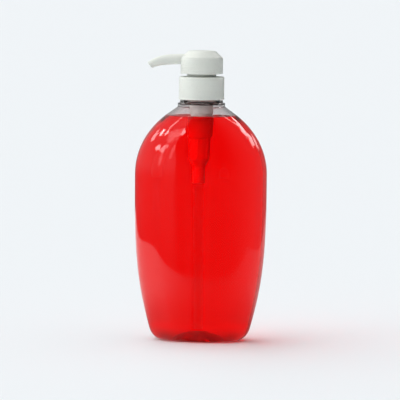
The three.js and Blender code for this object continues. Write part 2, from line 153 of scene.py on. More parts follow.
def clearPet(name, ior, wave, tint="#ffffff"):
    # blown PET: hard gloss over slow waves that the mould's cooling leaves in the wall
    material, tree = newMaterial(name)
    place = addNode(tree, "ShaderNodeTexCoord")
    waves = addNode(tree, "ShaderNodeTexNoise", {
        "Vector": place.outputs["Object"], "Scale": 1 / (34 * mm), "Detail": 1.0,
    })
    bump = addNode(tree, "ShaderNodeBump", {"Height": waves, "Strength": 1.0, "Distance": wave * mm})
    shader = addNode(tree, "ShaderNodeBsdfPrincipled", {
        "Base Color": linearColour(tint), "Roughness": 0.015, "IOR": ior,
        "Transmission Weight": 1.0, "Normal": bump,
    })
    addNode(tree, "ShaderNodeOutputMaterial", {"Surface": shader})
    return material


def redSoap(name, ior):
    # dyed clear soap: it takes out green and blue within a few millimetres, and hardly any red
    material, tree = newMaterial(name)
    shader = addNode(tree, "ShaderNodeBsdfPrincipled", {
        "Base Color": (1, 1, 1, 1), "Roughness": 0.0, "IOR": ior, "Transmission Weight": 1.0,
    })
    dye = addNode(tree, "ShaderNodeVolumeAbsorption", {"Color": (0.995, 0.0, 0.0, 1), "Density": 150.0})
    addNode(tree, "ShaderNodeOutputMaterial", {"Surface": shader, "Volume": dye})
    return material


def mouldedPlastic(name, colour, roughness, through=0.0, scatter=0.15, grain=1.4, ior=1.49, alpha=1.0):
    # an even satin skin with a faint cloudiness under it; the skin's grain is in millimetres
    material, tree = newMaterial(name)
    place = addNode(tree, "ShaderNodeTexCoord").outputs["Object"]
    cloud = addNode(tree, "ShaderNodeTexNoise", {"Vector": place, "Scale": 1 / (9 * mm), "Detail": 2.0})
    skin = addNode(tree, "ShaderNodeTexNoise", {"Vector": place, "Scale": 1 / (grain * mm), "Detail": 3.0})
    shade = addNode(tree, "ShaderNodeMapRange", {
        "Value": cloud, "From Min": 0.3, "From Max": 0.7, "To Min": 0.965, "To Max": 1.0,
    })
    tint = addNode(tree, "ShaderNodeHueSaturation", {"Color": linearColour(colour), "Value": shade})
    gloss = addNode(tree, "ShaderNodeMapRange", {
        "Value": skin, "From Min": 0.3, "From Max": 0.7,
        "To Min": roughness - 0.04, "To Max": roughness + 0.05,
    })
    bump = addNode(tree, "ShaderNodeBump", {"Height": skin, "Strength": 0.25, "Distance": 0.01 * mm})
    shader = addNode(tree, "ShaderNodeBsdfPrincipled", {
        "Base Color": tint, "Roughness": gloss, "IOR": ior,
        "Alpha": alpha, "Transmission Weight": through, "Subsurface Weight": scatter,
        "Subsurface Radius": (1.2 * mm, 1.1 * mm, 1.0 * mm), "Subsurface Scale": 1.0, "Normal": bump,
    })
    addNode(tree, "ShaderNodeOutputMaterial", {"Surface": shader})
    return material


def drawnSteel(name):
    # stainless spring wire: bright, with fine lines along it from the die
    material, tree = newMaterial(name)
    place = addNode(tree, "ShaderNodeTexCoord")
    lines = addNode(tree, "ShaderNodeTexNoise", {
        "Vector": place.outputs["Object"], "Scale": 1 / (0.4 * mm), "Detail": 3.0,
    })
    gloss = addNode(tree, "ShaderNodeMapRange", {"Value": lines, "To Min": 0.2, "To Max": 0.42})
    shader = addNode(tree, "ShaderNodeBsdfPrincipled", {
        "Base Color": linearColour("#c4c6c8"), "Metallic": 1.0, "Roughness": gloss,
    })
    addNode(tree, "ShaderNodeOutputMaterial", {"Surface": shader})
    return material


petDry = clearPet("clear PET, blown", 1.575, 0.05)
petWet = clearPet("clear PET, wetted by soap", 1.167, 0.0)  # PET's index over the soap's
# greyed inside face above the soap: a painted shade that dims what shows through the empty neck and shoulder
petGreyedForShade = clearPet("clear PET, inside face greyed as painted shade", 1.575, 0.05, "#cbcacb")
soapInside = redSoap("red liquid soap, against the wall", 1.0)  # the wetted wall bends the light already
soapTop = redSoap("red liquid soap, free surface", 1.35)
whitePp = mouldedPlastic("white polypropylene, satin moulded", "#f0f4ec", 0.3)
naturalPp = mouldedPlastic("natural polypropylene, moulded", "#f6f1ea", 0.4, through=0.12, scatter=0.0)
softPe = mouldedPlastic("soft polyethylene, moulded", "#dfe0dc", 0.5, grain=0.9)
tubePe = mouldedPlastic(  # mostly see-through, so that it hardly shows in the soap
    "natural polyethylene, extruded", "#d2d2cc", 0.3, scatter=0.0, ior=1.05, alpha=0.08,
)
beadGlass = mouldedPlastic("ground glass bead", "#dfe8e4", 0.06, through=0.8, scatter=0.0, ior=1.52)
springWire = drawnSteel("stainless spring wire, drawn")

# bottle; runs are handle lengths of its curves, and lean and shoulderRunOut are slopes of its outline

bottleSizes = {
    "bodyHeight": 196.8, "width": 111.3, "depth": 77.6, "widestZ": 138, "heelWidth": 85, "heelDepth": 60,
    "heelZ": 10, "standWidth": 60, "standDepth": 42, "standRing": 3, "pushUp": 7, "lean": 0.29,
    "shoulderWidth": 53.6, "shoulderDepth": 47.6, "shoulderZ": 192, "squareness": 2.35, "wall": 0.8,
    "heelRunDown": 6, "sideRunUp": 41, "sideRunDown": 59, "shoulderRunUp": 6.9, "shoulderRunDown": 20.7,
    "shoulderRunOut": 1.43, "neckFillet": 3, "heelExtra": 1.3, "heelExtraZ": 14, "heelExtraRun": 2.4,
    "stepRadius": 19.85, "stepTop": 200, "stepRound": 0.5, "beadRadius": 18, "beadTop": 202.4,
    "finishRadius": 15.9, "neckBore": 13.2, "boreRound": 0.3, "neckFlare": 1.4, "stepWallExtra": 0.2,
    "lipZ": 215.6, "lipRound": 0.5, "threadPitch": 4.23, "threadDepth": 0.75, "threadWidth": 1.5,
    "threadTurns": 1.5, "threadZ": 206.4, "threadFade": 0.09, "threadFlank": 0.55, "threadStep": 0.36,
    "threadGap": 0.01, "wetAbove": 0.6,
}
cornerMiddle = 0.3  # how far in the middle of a rounded corner lies, as a share of its radius


def bodyOutline(full, heel, stand, shoulder):
    # half of the outline seen from the front or the side, from the middle of the base to the neck
    s = bottleSizes
    lean = s["lean"] * full / s["width"]
    slope = s["shoulderRunOut"] * (full - shoulder) / (s["width"] - s["shoulderWidth"])
    full, heel, stand, shoulder = full / 2, heel / 2, stand / 2, shoulder / 2
    inner = stand - s["standRing"]
    low, high, root, foot = s["widestZ"], s["shoulderZ"], s["bodyHeight"], s["heelZ"]
    down, up, reach, pushUp = s["heelRunDown"], s["sideRunUp"], s["shoulderRunDown"], s["pushUp"]
    filletR, filletZ = shoulder - slope * s["neckFillet"], high + s["neckFillet"]
    step = s["stepRadius"]
    # base, standing ring, heel, side, shoulder and neck: start, its handle, the end's handle, end, steps
    curves = [
        ((inner / 12, pushUp), (inner * 0.55, pushUp), (inner * 0.8, pushUp * 0.35), (inner, 0), 10),
        ((inner, 0), (inner + 1, 0), (stand - 1, 0), (stand, 0), 2),
        ((stand, 0), (stand + (heel - stand) * 0.55, 0), (heel - lean * down, foot - down), (heel, foot), 14),
        ((heel, foot), (heel + lean * up, foot + up), (full, low - s["sideRunDown"]), (full, low), 36),
        ((full, low), (full, low + s["shoulderRunUp"]), (shoulder + slope * reach, high - reach),
         (shoulder, high), 30),
        ((shoulder, high), (shoulder + (filletR - shoulder) * 2 / 3, high + (filletZ - high) * 2 / 3),
         (step + (filletR - step) * 2 / 3, root + (filletZ - root) * 2 / 3), (step, root), 6),
    ]
    points = []
    for start, startHandle, endHandle, end, steps in curves:
        corners = [Vector((p[0], p[1], 0)) for p in (start, startHandle, endHandle, end)]
        run = interpolate_bezier(*corners, steps + 1)
        points += run[(1 if points else 0):]
    return points


def ovalRing(halfWidth, halfDepth, z, squareness=2.0):
    ring = []
    for i in range(ovalSides):
        c, s = math.cos(math.tau * i / ovalSides), math.sin(math.tau * i / ovalSides)
        ring.append(Vector((
            halfWidth * math.copysign(abs(c) ** (2 / squareness), c),
            halfDepth * math.copysign(abs(s) ** (2 / squareness), s), z,
        )))
    return ring


def roundRings(points):
    return [ovalRing(radius, radius, z) for radius, z in points]


def bodyRings():
    # the section is a squarish oval up to the widest height, and from there goes to a circle at the neck
    s = bottleSizes
    front = bodyOutline(s["width"], s["heelWidth"], s["standWidth"], s["shoulderWidth"])
    side = bodyOutline(s["depth"], s["heelDepth"], s["standDepth"], s["shoulderDepth"])
    rings = []
    for f, d in zip(front, side):
        towardsNeck = smoothStep(s["widestZ"], s["bodyHeight"], f.y)
        rings.append(ovalRing(f.x, d.x, f.y, s["squareness"] + (2 - s["squareness"]) * towardsNeck))
    return rings


def insetRings(rings, distance):
    # the wall's inner side: it gets thicker at the heel, as blown bottles do
    s = bottleSizes
    heelTop = s["heelExtraZ"]
    inset = []
    for i, ring in enumerate(rings):
        above, below = rings[min(i + 1, len(rings) - 1)], rings[max(i - 1, 0)]
        thicker = s["heelExtra"] * (1 - smoothStep(heelTop - s["heelExtraRun"], heelTop, ring[0].z))
        moved = []
        for j, point in enumerate(ring):
            along = ring[(j + 1) % len(ring)] - ring[j - 1]
            outwards = along.cross(above[j] - below[j]).normalized()
            moved.append(point - (distance + thicker) * outwards)
        inset.append(moved)
    return inset


def threadBump(angle, z):
    # how far the screw thread stands out of the finish
    s = bottleSizes
    turns, width = s["threadTurns"], s["threadWidth"]
    total = 0.0
    for turn in range(int(turns) + 2):
        along = turn + angle / math.tau
        off = abs(z - s["threadZ"] - s["threadPitch"] * along)
        if off < width / 2 and 0 < along < turns:
            ends = min(along / s["threadFade"], (turns - along) / s["threadFade"], 1)
            flank = smoothStep(0, s["threadFlank"], 1 - off / (width / 2))
            total = max(total, s["threadDepth"] * flank * ends)
    return total


def finishRings():
    # the neck's finish with its thread, from the bead up to the lip
    s = bottleSizes
    low, high = s["beadTop"] + s["threadGap"], s["lipZ"] - s["lipRound"]
    rows = round(abs(high - low) / s["threadStep"])
    rings = []
    for row in range(rows + 1):
        z = low + (high - low) * row / rows
        ring = []
        for i in range(ovalSides):
            angle = math.tau * i / ovalSides
            radius = s["finishRadius"] + threadBump(angle, z)
            ring.append(Vector((radius * math.cos(angle), radius * math.sin(angle), z)))
        rings.append(ring)
    return rings


def makeBottle():
    s = bottleSizes
    wall, step, lip, rim = s["wall"], s["stepRound"], s["lipRound"], s["boreRound"]
    stepRadius, stepTop = s["stepRadius"], s["stepTop"]
    beadRadius, beadTop = s["beadRadius"], s["beadTop"]
    finishRadius, neckBore, lipZ, flare = s["finishRadius"], s["neckBore"], s["lipZ"], s["neckFlare"]
    body = bodyRings()
    outside = body + roundRings([
        (stepRadius, stepTop - step), (stepRadius - step * cornerMiddle, stepTop - step * cornerMiddle),
        (stepRadius - step, stepTop), (beadRadius + step, stepTop), (beadRadius, stepTop + step),
        (beadRadius, beadTop - step), (beadRadius - step, beadTop),
    ]) + finishRings() + roundRings([
        (finishRadius - lip * cornerMiddle, lipZ - lip * cornerMiddle), (finishRadius - lip, lipZ),
        (neckBore + rim, lipZ), (neckBore, lipZ - rim),
    ])
    inner = stepRadius - wall - s["stepWallExtra"]
    bore = roundRings([
        (neckBore, beadTop), (neckBore + flare, beadTop - flare), (beadRadius - wall, stepTop - wall),
        (inner, stepTop - wall - step), (inner, s["bodyHeight"] + step),
    ])
    inside = insetRings(body, wall)[::-1]
    rings = outside + bore + inside
    # the dry inside faces take the greyed PET, painted shade over the empty upper bottle
    slots = {row: 2 for row in range(len(outside) - 1, len(rings) - 1)}  # dry inside faces
    for i, ring in enumerate(inside[1:]):
        if ring[0].z < soapSizes["fillZ"] + s["wetAbove"]:
            slots[len(outside) + len(bore) + i] = 1
    bm = bmesh.new()
    wrapGrid(bm, rings, slots)
    finishPiece("bottle_shell", bm, "bottle", [petDry, petWet, petGreyedForShade], "bottle")


# soap; pumpClimb gives how its surface climbs the pump, as distance from the pump and rise

soapSizes = {
    "fillZ": 188.0, "gap": 0.02, "meniscus": 1.1, "meniscusReach": 2.2, "meniscusFall": 3.2, "pumpGap": 0.05,
    "pumpClimb": [(6, 0), (2.2, 0.03), (1.1, 0.2), (0.4, 0.5), (0, 0.9)], "tubeFill": 128, "tubeEnd": 0.4,
    "surfaceRows": (0.08, 0.2, 0.36, 0.56, 0.8, 1.0),
}


def cutAt(rings, z):
    # the rings below z, and one that lies at z
    kept = [ring for ring in rings if ring[0].z < z - 0.05]  # a ring just below z would leave a sliver
    above = rings[len(kept)]
    below = kept[-1]
    share = (z - below[0].z) / (above[0].z - below[0].z)
    return kept + [[a.lerp(b, share) for a, b in zip(below, above)]]


def drawnIn(ring, inwards, z):
    flat = [Vector((point.x, point.y, 0)) for point in ring]
    return [point * (1 - inwards / point.length) + Vector((0, 0, z)) for point in flat]


def makeSoap():
    s, p, t = soapSizes, pumpSizes, tubeSizes
    fill, rise, gap = s["fillZ"], s["meniscus"], s["pumpGap"]
    wallRings = cutAt(insetRings(bodyRings(), bottleSizes["wall"] + s["gap"]), fill + rise)
    surface = []
    for share in s["surfaceRows"]:
        curl = rise * math.exp(-s["meniscusFall"] * share) * (1 - share) ** 0.5
        surface.append(drawnIn(wallRings[-1], s["meniscusReach"] * share, fill + curl))
    outer = p["radius"] + gap
    chamber, socket = p["chamberRadius"] + p["rib"] + gap, p["socketRadius"] + gap
    climb = roundRings([(outer + out, fill + up) for out, up in s["pumpClimb"]])
    room = roundRings([  # the space that housing and dip tube take up
        (outer, p["footZ"] - gap), (chamber, p["footZ"] - gap), (chamber, p["chamberZ"] - gap),
        (socket, p["coneZ"] - gap), (socket, p["socketZ"] - gap),
        (t["radius"] + gap, p["socketZ"] - gap), (t["radius"] + gap, t["bottom"] - gap),
        (t["bore"] - gap, t["bottom"] - gap), (t["bore"] - gap, t["bottom"] + s["tubeFill"]),
        (s["tubeEnd"], t["bottom"] + s["tubeFill"]),
    ])
    firstFree = len(wallRings) - 1
    free = {firstFree + row: 1 for row in range(len(surface) + len(climb))}
    bm = bmesh.new()
    wrapGrid(bm, wallRings + surface + climb + room, free)
    finishPiece("soap", bm, "bottle", [soapInside, soapTop], "liquid", sharp=50)


# pump housing, turned, with ribs on its spring chamber

pumpSizes = {
    "radius": 9.1, "bore": 7.7, "collarRadius": 9.9, "collarZ": 190, "collarRise": 0.8, "counterbore": 10.6,
    "counterboreZ": 203.0, "funnel": 2, "rimRadius": 12.2, "rimTop": 220.4, "flangeRadius": 15.82,
    "flangeZ": 217.0, "flangeTop": 218.8, "cylinderZ": 169.8, "footZ": 168.4, "footLip": 0.2,
    "chamberRadius": 7.7, "chamberBore": 6.7, "chamberZ": 151.8, "coneZ": 146.01,
    "rib": 0.5, "ribCount": 6, "ribWidth": 1.2, "ribRoot": 0.5, "ribTop": 0.45, "ribRound": 0.2,
    "socketRadius": 4.7, "socketBore": 3.98, "socketZ": 133.01, "seatRadius": 2.8, "seatTop": 148.9,
    "seatZ": 146.85, "inletZ": 145.01, "inletRadius": 1.8,
}


def addRibs(bm):
    p = pumpSizes
    root, tip = p["chamberBore"] + p["ribRoot"], p["chamberRadius"] + p["rib"]
    low, high = p["chamberZ"] + p["rib"], p["footZ"] + p["ribTop"]
    for i in range(p["ribCount"]):
        rib = bmesh.ops.create_cube(bm, size=1.0)["verts"]
        bmesh.ops.scale(bm, vec=(tip - root, p["ribWidth"], high - low), verts=rib)
        bmesh.ops.translate(bm, vec=((tip + root) / 2, 0, (low + high) / 2), verts=rib)
        edges = {edge for vert in rib for edge in vert.link_edges}
        made = bmesh.ops.bevel(
            bm, geom=[edge for edge in edges if min(vert.co.x for vert in edge.verts) > tip - 0.01],
            offset=p["ribRound"], offset_type="OFFSET", segments=2, profile=0.5, affect="EDGES", material=-1,
        )
        rib = list({v for v in rib if v.is_valid} | {v for face in made["faces"] for v in face.verts})
        turn = Matrix.Rotation((i + 0.5) / p["ribCount"] * math.tau, 3, "Z")
        bmesh.ops.rotate(bm, cent=(0, 0, 0), verts=rib, matrix=turn)


def makeHousing():
    p = pumpSizes
    foot = p["footZ"] + p["footLip"]
    bm = bmesh.new()
    spinProfile(bm, [
        (p["socketBore"], p["socketZ"]), (p["socketRadius"], p["socketZ"], 0.25),
        (p["socketRadius"], p["coneZ"], 0.6), (p["chamberRadius"], p["chamberZ"], 0.7),
        (p["chamberRadius"], foot), (p["radius"], foot, 0.5), (p["radius"], p["collarZ"], 0.4),
        (p["collarRadius"], p["collarZ"] + p["collarRise"], 0.4),
        (p["collarRadius"], p["counterboreZ"] - p["funnel"], 0.6), (p["rimRadius"], p["counterboreZ"], 0.5),
        (p["rimRadius"], p["flangeZ"]), (p["flangeRadius"], p["flangeZ"], 0.3),
        (p["flangeRadius"], p["flangeTop"], 0.3), (p["rimRadius"], p["flangeTop"]),
        (p["rimRadius"], p["rimTop"], 0.3), (p["counterbore"], p["rimTop"], 0.3),
        (p["counterbore"], p["counterboreZ"]), (p["bore"], p["counterboreZ"], 0.3),
        (p["bore"], p["cylinderZ"]), (p["chamberBore"], p["cylinderZ"], 0.2),
        (p["chamberBore"], p["chamberZ"]), (p["seatRadius"], p["seatTop"]), (p["seatRadius"], p["seatZ"]),
        (p["inletRadius"], p["coneZ"]), (p["inletRadius"], p["inletZ"]), (p["socketBore"], p["inletZ"]),
    ], pumpSides)
    addRibs(bm)
    finishPiece("housing", bm, "pump", [naturalPp], "pump_housing")


# dip tube

tubeSizes = {"radius": 3.9, "bore": 3.0, "bottom": 10.3, "top": 144.9, "edge": 0.15}


def makeTube():
    s = tubeSizes
    turnedPiece("tube", [
        (s["bore"], s["bottom"]), (s["radius"], s["bottom"], s["edge"]), (s["radius"], s["top"]),
        (s["bore"], s["top"]),
    ], "pump", tubePe, "dip_tube")


# screw closure, with a thin rim at its foot

collarSizes = {
    "bore": 16.9, "bottom": 203.0, "rimRadius": 19.3, "rimTop": 204.1, "rimEdge": 204.4, "radius": 19,
    "top": 222.1, "topRound": 1.1, "opening": 14.6, "ledgeZ": 220.5, "ledge": 12.6, "ceiling": 218.9,
}


def makeCollar():
    s = collarSizes
    turnedPiece("collar", [
        (s["bore"], s["bottom"]), (s["rimRadius"], s["bottom"], 0.3), (s["rimRadius"], s["rimTop"], 0.25),
        (s["radius"], s["rimEdge"]), (s["radius"], s["top"], s["topRound"]), (s["opening"], s["top"], 0.3),
        (s["opening"], s["ledgeZ"]), (s["ledge"], s["ledgeZ"], 0.2), (s["ledge"], s["ceiling"]),
        (s["bore"], s["ceiling"]),
    ], "closure", whitePp, "closure", roundSides)


# ring that the head locks down into

lockSizes = {
    "skirtBore": 9.05, "skirtRadius": 10.45, "skirtBottom": 203.1, "flangeRadius": 14.1, "flangeZ": 220.6,
    "flangeTop": 221.5, "towerRadius": 12.2, "towerTop": 229.5, "towerBore": 9.75, "floorTop": 220.0,
    "floorZ": 218.4, "stemHole": 4.8,
}


def makeLockRing():
    s = lockSizes
    turnedPiece("lock_collar", [
        (s["skirtBore"], s["skirtBottom"]), (s["skirtRadius"], s["skirtBottom"], 0.3),
        (s["skirtRadius"], s["flangeZ"]), (s["flangeRadius"], s["flangeZ"], 0.15),
        (s["flangeRadius"], s["flangeTop"], 0.25), (s["towerRadius"], s["flangeTop"]),
        (s["towerRadius"], s["towerTop"], 0.4), (s["towerBore"], s["towerTop"], 0.3),
        (s["towerBore"], s["floorTop"]), (s["stemHole"], s["floorTop"]), (s["stemHole"], s["floorZ"]),
        (s["skirtBore"], s["floorZ"]),
    ], "pump", whitePp, "lock_ring", roundSides)


# seal between lip and flange

sealSizes = {"bore": 12.35, "radius": 15.82, "bottom": 215.7, "top": 216.9, "edge": 0.15}


def makeSeal():
    s = sealSizes
    turnedPiece("seal", [
        (s["bore"], s["bottom"]), (s["radius"], s["bottom"], s["edge"]), (s["radius"], s["top"], s["edge"]),
        (s["bore"], s["top"]),
    ], "seal", softPe, "gasket")


# piston with two lips and a waist

pistonSizes = {
    "bore": 4.8, "lipRadius": 7.62, "waistRadius": 6.7, "edge": 0.2, "bottom": 171.4, "lowLipTop": 173.2,
    "waistBottom": 174.0, "waistTop": 177.8, "highLipBottom": 178.6, "top": 180.4,
}


def makePiston():
    s = pistonSizes
    lip, edge = s["lipRadius"], s["edge"]
    turnedPiece("piston_seal", [
        (s["bore"], s["bottom"]), (lip, s["bottom"], edge), (lip, s["lowLipTop"], edge),
        (s["waistRadius"], s["waistBottom"]), (s["waistRadius"], s["waistTop"]),
        (lip, s["highLipBottom"], edge), (lip, s["top"], edge), (s["bore"], s["top"]),
    ], "piston", softPe, "piston")


# hollow stem with its stop collar

stemSizes = {
    "bore": 2.6, "radius": 4.4, "edge": 0.2, "bottom": 171.4, "collarRadius": 5.7, "collarBottom": 181.7,
    "collarTop": 183.2, "taperTop": 184.2, "top": 232.4,
}


def makeStem():
    s = stemSizes
    turnedPiece("stem_tube", [
        (s["bore"], s["bottom"]), (s["radius"], s["bottom"], s["edge"]), (s["radius"], s["collarBottom"]),
        (s["collarRadius"], s["collarBottom"], 0.3), (s["collarRadius"], s["collarTop"], s["edge"]),
        (s["radius"], s["taperTop"]), (s["radius"], s["top"], s["edge"]), (s["bore"], s["top"]),
    ], "head", naturalPp, "stem")


# ball of the inlet valve

ballSizes = {"radius": 2.4, "centreZ": 147.7, "steps": 24}


def makeBall():
    s = ballSizes
    outline = []
    for i in range(s["steps"] + 1):
        angle = math.pi * i / s["steps"]
        radius = s["radius"] * math.sin(angle) if 0 < i < s["steps"] else 0
        outline.append((radius, s["centreZ"] - s["radius"] * math.cos(angle)))
    turnedPiece("ball", outline, "ball", beadGlass, "inlet_ball")


# head with its spout; drops are measured down from the top, bore is the passage's radius, the spout starts
# to narrow at two shares of its length, and chamferStep goes inwards and upwards from the chamfer's foot

headSizes = {
    "radius": 17.8, "bottom": 224.6, "top": 244.2, "topRadius": 11.6, "chamfer": 6, "crown": 0.5, "wall": 1.4,
    "ceilingDrop": 2.7, "grooves": (226.6, 228.4, 231.3), "grooveWidth": 0.6, "grooveDepth": 0.22,
    "hub": 9.3, "hubZ": 220.1, "socket": 4.55, "socketTop": 232.5, "turn": 12,
    "reach": 43.9, "rootDrop": 7.5, "tipDrop": 13.1, "tipAngle": 40, "tipRun": 6, "run": 11.8, "rise": 0.4,
    "rootHeight": 8.7, "rootWidth": 9.6, "tipHeight": 6.6, "tipWidth": 6.2, "tipRound": 1.2, "bore": 1.6,
    "heightFrom": 0.55, "widthFrom": 0.3, "mouthExtra": 0.2, "spoutSteps": 44, "boreSteps": 22,
    "spoutSides": 40, "innerDrop": 0.6, "chamferStep": [(0, -0.5, 0.2), (0.5, -0.2), (0.45, 0.4)],
    "crownRings": (0.85, 0.6, 0.35, 0.15),
}


def spoutCurve():
    # points at even distances along the spout, each with its direction
    h = headSizes
    steps = h["spoutSteps"]
    angle = math.radians(h["tipAngle"])
    root = Vector((-(h["hub"] + stemSizes["radius"]) / 2, 0, h["top"] - h["rootDrop"]))
    tip = Vector((-h["reach"], 0, h["top"] - h["tipDrop"]))
    rootHandle = Vector((-h["radius"] - h["run"], 0, root.z + h["rise"]))
    tipHandle = tip + Vector((math.cos(angle), 0, math.sin(angle))) * h["tipRun"]
    fine = interpolate_bezier(root, rootHandle, tipHandle, tip, 400)  # close enough to measure along
    lengths = [0.0]
    for a, b in zip(fine, fine[1:]):
        lengths.append(lengths[-1] + (b - a).length)
    points, at = [], 0
    for i in range(steps + 1):
        goal = lengths[-1] * i / steps
        while at < len(fine) - 2 and lengths[at + 1] < goal:
            at += 1
        share = (goal - lengths[at]) / max(lengths[at + 1] - lengths[at], 1e-9)
        place = fine[at].lerp(fine[at + 1], min(share, 1))
        points.append((place, (fine[at + 1] - fine[at]).normalized()))
    return points


def spoutRing(centre, along, halfWidth, halfHeight):
    sides = headSizes["spoutSides"]
    across = Vector((0, 1, 0))
    up = along.cross(across)
    ring = []
    for i in range(sides):
        angle = math.tau * i / sides
        ring.append(centre + across * halfWidth * math.cos(angle) + up * halfHeight * math.sin(angle))
    return ring


def spoutRings():
    # along the outside to the tip, round its edge, and back in along the passage
    h = headSizes
    steps, edge = h["spoutSteps"], h["tipRound"]
    line = spoutCurve()
    rings = []
    for i, (centre, along) in enumerate(line):
        share = i / steps
        height = h["rootHeight"] + (h["tipHeight"] - h["rootHeight"]) * smoothStep(h["heightFrom"], 1, share)
        width = h["rootWidth"] + (h["tipWidth"] - h["rootWidth"]) * smoothStep(h["widthFrom"], 1, share)
        rings.append(spoutRing(centre, along, width / 2, height / 2))
    tip, along = line[-1]
    rings[-1] = spoutRing(tip - along * edge, along, h["tipWidth"] / 2, h["tipHeight"] / 2)
    for turn in (0.3, 0.6, 1.0):  # shares of a quarter turn round the tip's edge
        back = 1 - math.sin(turn * math.pi / 2)
        inwards = edge * (1 - math.cos(turn * math.pi / 2))
        halfWidth, halfHeight = h["tipWidth"] / 2 - inwards, h["tipHeight"] / 2 - inwards
        rings.append(spoutRing(tip - along * edge * back, along, halfWidth, halfHeight))
    mouth = h["bore"] + h["mouthExtra"]
    rings.append(spoutRing(tip, along, mouth, mouth))
    for i in range(steps, steps - h["boreSteps"], -2):
        centre, along = line[i]
        rings.append(spoutRing(centre - along * h["mouthExtra"] * (i == steps), along, h["bore"], h["bore"]))
    return rings


def makeHead():
    h = headSizes
    radius, shoulder = h["radius"], h["top"] - h["crown"]
    chamferZ = shoulder - h["chamfer"]
    inner = radius - h["wall"]
    ceiling = shoulder - h["ceilingDrop"]
    deep, half = radius - h["grooveDepth"], h["grooveWidth"] / 2
    grooves = []
    for z in h["grooves"]:
        grooves += [(radius, z - half), (deep, z - half / 2), (deep, z + half / 2), (radius, z + half)]
    chamferStep = [(radius - point[0], chamferZ + point[1], *point[2:]) for point in h["chamferStep"]]
    crown = [(h["topRadius"] * share, h["top"] - h["crown"] * share * share) for share in h["crownRings"]]
    bm = bmesh.new()
    spinProfile(bm, [
        (0, h["socketTop"]), (h["socket"], h["socketTop"]), (h["socket"], h["hubZ"]),
        (h["hub"], h["hubZ"], 0.3), (h["hub"], ceiling), (h["topRadius"], ceiling),
        (inner, chamferZ - h["innerDrop"]), (inner, h["bottom"]), (radius, h["bottom"], 0.35), *grooves,
        *chamferStep, (h["topRadius"], shoulder, 1.6), *crown, (0, h["top"]),
    ])
    arm = bmesh.new()
    wrapGrid(arm, spoutRings())
    bmesh.ops.recalc_face_normals(arm, faces=arm.faces)
    armMesh = bpy.data.meshes.new("arm")
    arm.to_mesh(armMesh)
    arm.free()
    bm.from_mesh(armMesh)
    bpy.data.meshes.remove(armMesh)
    turn = Matrix.Rotation(math.radians(h["turn"]), 3, "Z")
    bmesh.ops.rotate(bm, cent=(0, 0, 0), verts=bm.verts, matrix=turn)
    finishPiece("head_cap", bm, "head", [whitePp], "head")


def dressCarriedNodes():
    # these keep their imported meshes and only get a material
    for nodeName, material in (("ball_cage", naturalPp), ("valve_rod", naturalPp), ("spring", springWire)):
        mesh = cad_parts[nodeName].data
        mesh.materials.clear()
        mesh.materials.append(material)
        print("dressed", nodeName)


# camera; lengths are in metres, its lens and sensor in millimetres, angles in degrees

cameraSizes = {
    "azimuth": 12, "distance": 3.5, "height": 0.393, "aim": 0.118, "lens": 375, "sensor": 36, "roll": 0.53,
    "shift": -0.0015, "near": 0.1, "far": 100,
}


def makeCamera():
    c = cameraSizes
    data = bpy.data.cameras.new("camera")
    data.lens = c["lens"]
    data.sensor_width = c["sensor"]
    data.shift_x = c["shift"]
    data.clip_start = c["near"]
    data.clip_end = c["far"]
    camera = bpy.data.objects.new("camera", data)
    bpy.context.scene.collection.objects.link(camera)
    azimuth = math.radians(c["azimuth"])
    camera.location = (math.sin(azimuth) * c["distance"], -math.cos(azimuth) * c["distance"], c["height"])
    look = Vector((0, 0, c["aim"])) - camera.location
    camera.rotation_euler = look.to_track_quat("-Z", "Y").to_euler()
    camera.rotation_euler.rotate_axis("Z", math.radians(c["roll"]))
    bpy.context.scene.camera = camera
    print("made camera")


# floor, in metres

floorSizes = {"width": 60, "drop": 0.0002}


def stageObject(name, bm, material):
    mesh = bpy.data.meshes.new(name)
    bm.to_mesh(mesh)
    bm.free()
    mesh.materials.append(material)
    staged = bpy.data.objects.new(name, mesh)
    bpy.context.scene.collection.objects.link(staged)
    print("made", name)
    return staged


def makeFloor():
    material, tree = newMaterial("pale studio floor")
    place = addNode(tree, "ShaderNodeTexCoord")
    noise = addNode(tree, "ShaderNodeTexNoise", {"Vector": place.outputs["Object"], "Scale": 300.0})
    tone = addNode(tree, "ShaderNodeMapRange", {"Value": noise, "To Min": 0.5, "To Max": 0.6})
    shader = addNode(tree, "ShaderNodeBsdfPrincipled", {
        "Base Color": linearColour("#e9edf0"), "Roughness": tone, "Specular IOR Level": 0.0,
    })
    addNode(tree, "ShaderNodeOutputMaterial", {"Surface": shader})
    bm = bmesh.new()
    bmesh.ops.create_grid(bm, x_segments=1, y_segments=1, size=0.5)
    floor = stageObject("floor", bm, material)
    floor.scale = (floorSizes["width"], floorSizes["width"], 1)
    floor.location = (0, 0, -floorSizes["drop"])
    # the bottle mirrors a table top and refracts an even backdrop instead, which has no far edge
    floor.visible_glossy = floor.visible_transmission = False


def angleAround(tree, parts):
    # the angle round the bottle: 0 towards the camera, positive to its left
    leftwards = addNode(tree, "ShaderNodeMath", [parts["X"], -1.0], operation="MULTIPLY")
    towards = addNode(tree, "ShaderNodeMath", [parts["Y"], -1.0], operation="MULTIPLY")
    return addNode(tree, "ShaderNodeMath", [leftwards, towards], operation="ARCTAN2")


# table top that the bottle mirrors, in metres; its glow and shade are smooth ramps, given as start, end,
# level at the start and level at the end, over the angle round the bottle and the distance from it

smooth = {"interpolation_type": "SMOOTHSTEP"}
tableSizes = {
    "left": -0.62, "right": 0.5, "front": -0.225, "back": 1.2, "corner": 0.26, "cornerSteps": 8,
    "height": 0.0005, "leftGlow": (0.2, 1.3, 0.07, 0.9), "rightGlow": (-1.8, -0.1, 0.36, 0.0),
    "shade": (0.06, 0.2, 0.3, 1.0),
}


